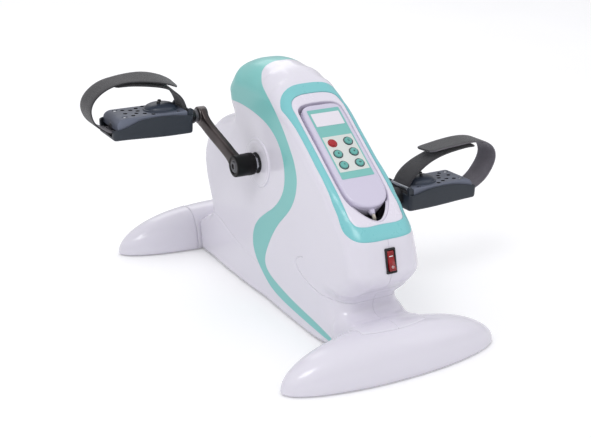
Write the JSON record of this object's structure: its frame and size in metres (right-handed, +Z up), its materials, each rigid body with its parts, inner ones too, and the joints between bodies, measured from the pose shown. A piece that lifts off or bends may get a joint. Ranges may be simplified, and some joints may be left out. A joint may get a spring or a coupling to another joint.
{
  "type": "pedal exerciser",
  "caption": "Floor-standing motorised pedal exerciser with a sloped console, lift-out wired handset, side cranks with strapped pedals and two cross feet.",
  "frame": {"origin": "on the floor plane, on the lateral mid-plane, midway between the front and rear foot", "axes": "+X along the crank axis to the right-hand pedal, -Y towards the user and console, +Z up"},
  "size_m": [0.5415, 0.5686, 0.3275],
  "materials": {
    "white_shell": "gloss",
    "teal_trim": "satin",
    "frame_paint": "powder coat",
    "pad_rubber": "matt",
    "bright_steel": "turned",
    "wheel_brass": "machined",
    "bearing_steel": "ground",
    "motor_can": "plated",
    "crank_paint": "satin black chrome",
    "pedal_plastic": "moulded, fine grain",
    "tread_plastic": "moulded, fine grain",
    "strap_webbing": "woven webbing",
    "strap_loop": "brushed loop webbing",
    "gearcase_plastic": "moulded",
    "black_plastic": "moulded",
    "rocker_red": "translucent gloss",
    "circuit_board": "solder mask",
    "handset_shell": "satin",
    "label_film": "printed film",
    "display_glass": "gloss",
    "button_red": "silicone",
    "button_teal": "silicone",
    "cord_jacket": "smooth"
  },
  "bodies": {
    "root": {"housing_left": "white_shell", "housing_right": "white_shell", "console_frame": "teal_trim", "console_tray": "white_shell", "axle_cover_left": "white_shell", "axle_cover_right": "white_shell", "chassis_frame": "frame_paint", "front_foot": "white_shell", "rear_foot_left": "white_shell", "rear_foot_centre": "white_shell", "rear_foot_right": "white_shell", "foot_pad_front_left": "pad_rubber", "foot_pad_front_right": "pad_rubber", "foot_pad_rear_left": "pad_rubber", "foot_pad_rear_right": "pad_rubber", "bearing_left": "bearing_steel", "bearing_right": "bearing_steel", "gearcase_left": "gearcase_plastic", "gearcase_right": "gearcase_plastic", "motor": "motor_can", "switch_bezel": "black_plastic", "power_socket": "black_plastic", "control_board": "circuit_board", "handset_cord": "cord_jacket"},
    "crank": {"crank_shaft": "bright_steel", "worm_wheel": "wheel_brass", "shaft_nut_left": "bright_steel", "shaft_nut_right": "bright_steel", "crank_arm_left": "crank_paint", "crank_arm_right": "crank_paint", "crank_bolt_left": "bright_steel", "crank_bolt_right": "bright_steel", "pedal_spindle_left": "bright_steel", "pedal_spindle_right": "bright_steel"},
    "worm": {"worm_shaft": "bright_steel"},
    "left_pedal": {"pedal_body_left": "pedal_plastic", "pedal_tread_left": "tread_plastic", "strap_outer_left": "strap_webbing", "strap_inner_left": "strap_loop", "strap_bar_left": "bright_steel"},
    "right_pedal": {"pedal_body_right": "pedal_plastic", "pedal_tread_right": "tread_plastic", "strap_outer_right": "strap_webbing", "strap_inner_right": "strap_loop", "strap_bar_right": "bright_steel"},
    "power_rocker": {"switch_rocker": "rocker_red"},
    "handset": {"handset_back": "handset_shell", "handset_front": "handset_shell", "control_label": "label_film", "display_window": "display_glass", "handset_board": "circuit_board"},
    "button_power": {"button_power": "button_red"},
    "button_mode": {"button_mode": "button_teal"},
    "button_speed_up": {"button_speed_up": "button_teal"},
    "button_speed_down": {"button_speed_down": "button_teal"},
    "button_time": {"button_time": "button_teal"},
    "button_reverse": {"button_reverse": "button_teal"}
  },
  "joints": [
    {"name": "crank_turn", "type": "hinge", "parent": "root", "child": "crank", "pos_m": [0, 0.0172, 0.1967], "axis": [1, 0, 0], "continuous": true},
    {"name": "worm_turn", "type": "hinge", "parent": "root", "child": "worm", "pos_m": [0, 0, 0.1451], "axis": [0, 1, 0], "continuous": true},
    {"name": "left_pedal_spin", "type": "hinge", "parent": "crank", "child": "left_pedal", "pos_m": [-0.18, 0.09651, 0.249], "axis": [1, 0, 0], "continuous": true},
    {"name": "right_pedal_spin", "type": "hinge", "parent": "crank", "child": "right_pedal", "pos_m": [0.18, -0.06211, 0.1444], "axis": [1, 0, 0], "continuous": true},
    {"name": "power_rocker_tilt", "type": "hinge", "parent": "root", "child": "power_rocker", "pos_m": [0, -0.23136, 0.1376], "axis": [1, 0, 0], "range_deg": [0, 10]},
    {"name": "handset_lift", "type": "slide", "parent": "root", "child": "handset", "axis": [0, -0.5779, 0.8161], "range_m": [0, 0.06]},
    {"name": "button_power_press", "type": "slide", "parent": "handset", "child": "button_power", "axis": [0, 0.5779, -0.8161], "range_m": [0, 0.0008]},
    {"name": "button_mode_press", "type": "slide", "parent": "handset", "child": "button_mode", "axis": [0, 0.5779, -0.8161], "range_m": [0, 0.0008]},
    {"name": "button_speed_up_press", "type": "slide", "parent": "handset", "child": "button_speed_up", "axis": [0, 0.5779, -0.8161], "range_m": [0, 0.0008]},
    {"name": "button_speed_down_press", "type": "slide", "parent": "handset", "child": "button_speed_down", "axis": [0, 0.5779, -0.8161], "range_m": [0, 0.0008]},
    {"name": "button_time_press", "type": "slide", "parent": "handset", "child": "button_time", "axis": [0, 0.5779, -0.8161], "range_m": [0, 0.0008]},
    {"name": "button_reverse_press", "type": "slide", "parent": "handset", "child": "button_reverse", "axis": [0, 0.5779, -0.8161], "range_m": [0, 0.0008]}
  ],
  "couplings": [
    {"joint": "worm_turn", "follows": "crank_turn", "ratio": 40}
  ]
}
